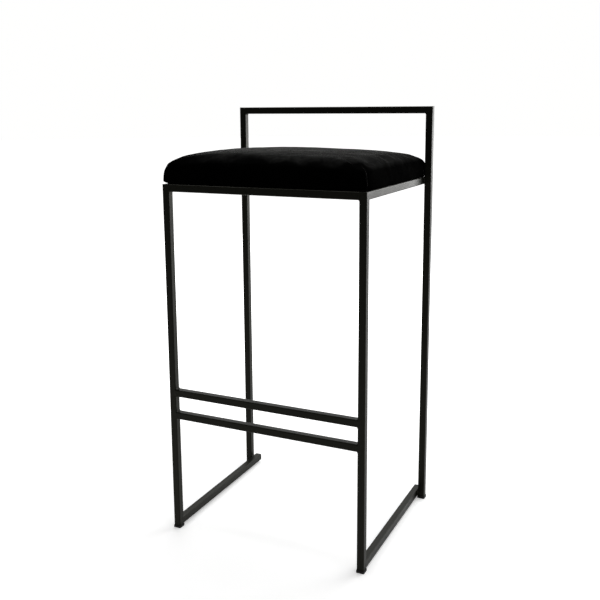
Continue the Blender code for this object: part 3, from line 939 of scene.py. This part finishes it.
def build_staples(staples, height_of):
    """Flat-wire staples, their ends turned up into the cloth."""
    half_width, half_height = STAPLE_WIRE
    bm = bmesh.new()
    for middle, way in staples:
        under = height_of(middle) - LINING_THICK / 2 - half_height - STAPLE_AIR
        side = Vector((-way.y, way.x, 0.0))
        along = way.to_3d()
        # share of the crown, height over the crown's middle, and the way the wire's underside faces
        path = [
            (-0.5, 0.00020, (along * 0.3 - Z).normalized()), (-0.46, 0.00004, (along - Z).normalized()),
            (-0.38, 0.0, -Z), (0.0, 0.00003, -Z), (0.38, 0.0, -Z),
            (0.46, 0.00004, (-along - Z).normalized()), (0.5, 0.00020, (-along * 0.3 - Z).normalized())]
        stations = []
        for share, rise, down in path:
            centre = middle.to_3d() + along * share * STAPLE_CROWN + Z * (under + rise)
            ring = []
            for i in range(12):
                angle = math.tau * i / 12
                wide = math.copysign(abs(math.cos(angle)) ** WIRE_SQUARE, math.cos(angle))
                tall = math.copysign(abs(math.sin(angle)) ** WIRE_SQUARE, math.sin(angle))
                ring.append(centre + side * wide * half_width + down * tall * half_height)
            stations.append(ring)
        sweep(bm, stations, False)
    bmesh.ops.recalc_face_normals(bm, faces=bm.faces)
    staples_piece = add_piece("lining_staples", mesh_from(bm, "lining_staples"), ZINC)
    staples_piece.data.shade_smooth()
    staples_piece.data.set_sharp_from_angle(angle=SHARP)


# ---------------------------------------------------------------- stage, light and camera

CAMERA_PLACE = Vector((0.7276, -1.5368, 0.8869))
CAMERA_YAW = 25.39          # degrees, the yaw to the left, the pitch down
CAMERA_PITCH = 10.27
CAMERA_ROLL = 0.35
CAMERA_LENS = 48.87         # mm, on a sensor of 36 mm
CAMERA_SHIFT = -0.0733

FLOOR_RADIUS = 24.0
GLOW_FROM, GLOW_TO = 0.3, 1.6       # distances from the stool over which the floor's glow grows
GLOW_NEAR, GLOW_FAR = 0.33, 1.05
AMBIENT = 0.12
# name, place, aimed at, width, height, radiance
SOFTBOXES = (
    ("softbox_top", (0.0, 1.1, 3.0), (0.0, 0.8, 0.0), 4.5, 3.6, 2.6),
    ("softbox_rear", (-0.6, 3.6, 1.3), (0.0, 0.0, 0.7), 5.0, 2.6, 0.8),
    ("window_right", (1.85, 3.0, 1.15), (0.0, 0.0, 0.7), 2.3, 1.7, 4.8))


def build_stage():
    """A pale floor that glows softly for the camera, brighter further out, and is clear from below."""
    material, tree, shader = new_material("floor_paper", {"Specular IOR Level": 0.1})
    place = object_place(tree)
    cloud = noise_value(tree, place, 1.3, 2.0)
    color = mix_colors(tree, cloud, (0.86, 0.86, 0.86), (0.89, 0.89, 0.89))
    tree.links.new(color, shader.inputs["Base Color"])
    tree.links.new(spread(tree, cloud, 0.80, 0.95), shader.inputs["Roughness"])
    radius = add_node(tree, "ShaderNodeVectorMath", {0: place}, operation="LENGTH").outputs["Value"]
    levels = {
        "Value": radius, "From Min": GLOW_FROM, "From Max": GLOW_TO, "To Min": GLOW_NEAR, "To Max": GLOW_FAR}
    glow = add_node(tree, "ShaderNodeMapRange", levels, interpolation_type="SMOOTHSTEP").outputs["Result"]
    rays = add_node(tree, "ShaderNodeLightPath")
    glow = math_node(tree, "MULTIPLY", glow, rays.outputs["Is Camera Ray"])
    tree.links.new(glow, shader.inputs["Emission Strength"])
    shader.inputs["Emission Color"].default_value = (1.0, 1.0, 0.995, 1.0)
    clear = add_node(tree, "ShaderNodeBsdfTransparent")
    backside = add_node(tree, "ShaderNodeNewGeometry").outputs["Backfacing"]
    sides = add_node(tree, "ShaderNodeMixShader", {"Fac": backside})
    tree.links.new(shader.outputs["BSDF"], sides.inputs[1])
    tree.links.new(clear.outputs["BSDF"], sides.inputs[2])
    tree.links.new(sides.outputs["Shader"], tree.nodes["Material Output"].inputs["Surface"])
    bm = bmesh.new()
    bmesh.ops.create_circle(bm, cap_ends=True, radius=FLOOR_RADIUS, segments=64)
    floor = bpy.data.objects.new("floor", mesh_from(bm, "floor"))
    floor.data.materials.append(material)
    bpy.context.scene.collection.objects.link(floor)


def add_area_light(name, place, target, width, height, radiance):
    """A softbox of one brightness: the same radiance wherever it is seen from."""
    light = bpy.data.lights.new(name, "AREA")
    light.shape = "RECTANGLE"
    light.size = width
    light.size_y = height
    light.energy = radiance * width * height * math.pi
    lamp = bpy.data.objects.new(name, light)
    lamp.location = place
    direction = Vector(target) - Vector(place)
    lamp.rotation_euler = direction.to_track_quat("-Z", "Y").to_euler()
    lamp.visible_camera = False
    bpy.context.scene.collection.objects.link(lamp)


def build_lights():
    """Three softboxes, dim enough for black metal, before a background that is white for the camera only."""
    world = bpy.data.worlds.new("studio")
    bpy.context.scene.world = world
    world.use_nodes = True
    tree = world.node_tree
    tree.nodes.clear()
    ambient = add_node(tree, "ShaderNodeBackground", {"Color": (1.0, 1.0, 1.0, 1.0), "Strength": AMBIENT})
    white = add_node(tree, "ShaderNodeBackground", {"Color": (1.0, 1.0, 0.995, 1.0), "Strength": 1.0})
    rays = add_node(tree, "ShaderNodeLightPath")
    mix = add_node(tree, "ShaderNodeMixShader", {"Fac": rays.outputs["Is Camera Ray"]})
    tree.links.new(ambient.outputs[0], mix.inputs[1])
    tree.links.new(white.outputs[0], mix.inputs[2])
    output = add_node(tree, "ShaderNodeOutputWorld")
    tree.links.new(mix.outputs[0], output.inputs["Surface"])
    for softbox in SOFTBOXES:
        add_area_light(*softbox)


def build_camera():
    """A camera where the photo's was, as fitted to the tubes, with a little shift for its upright lines."""
    camera = bpy.data.objects.new("camera", bpy.data.cameras.new("camera"))
    camera.data.lens = CAMERA_LENS
    camera.data.sensor_width = 36.0
    camera.data.shift_y = CAMERA_SHIFT
    camera.data.clip_start = 0.05
    camera.data.clip_end = 100.0
    camera.location = CAMERA_PLACE
    turn = Matrix.Rotation(math.radians(CAMERA_YAW), 4, "Z")
    tilt = Matrix.Rotation(math.radians(90.0 - CAMERA_PITCH), 4, "X")
    roll = Matrix.Rotation(math.radians(-CAMERA_ROLL), 4, "Z")
    camera.rotation_euler = (turn @ tilt @ roll).to_euler()
    bpy.context.scene.collection.objects.link(camera)
    bpy.context.scene.camera = camera


bpy.context.scene.view_settings.view_transform = "Standard"
finish_cad_nodes()
build_mitre_welds()
build_rail_welds()
build_post_welds()
build_tab_welds()
build_seat_cushion()
build_seat_lining()
build_stage()
build_lights()
build_camera()
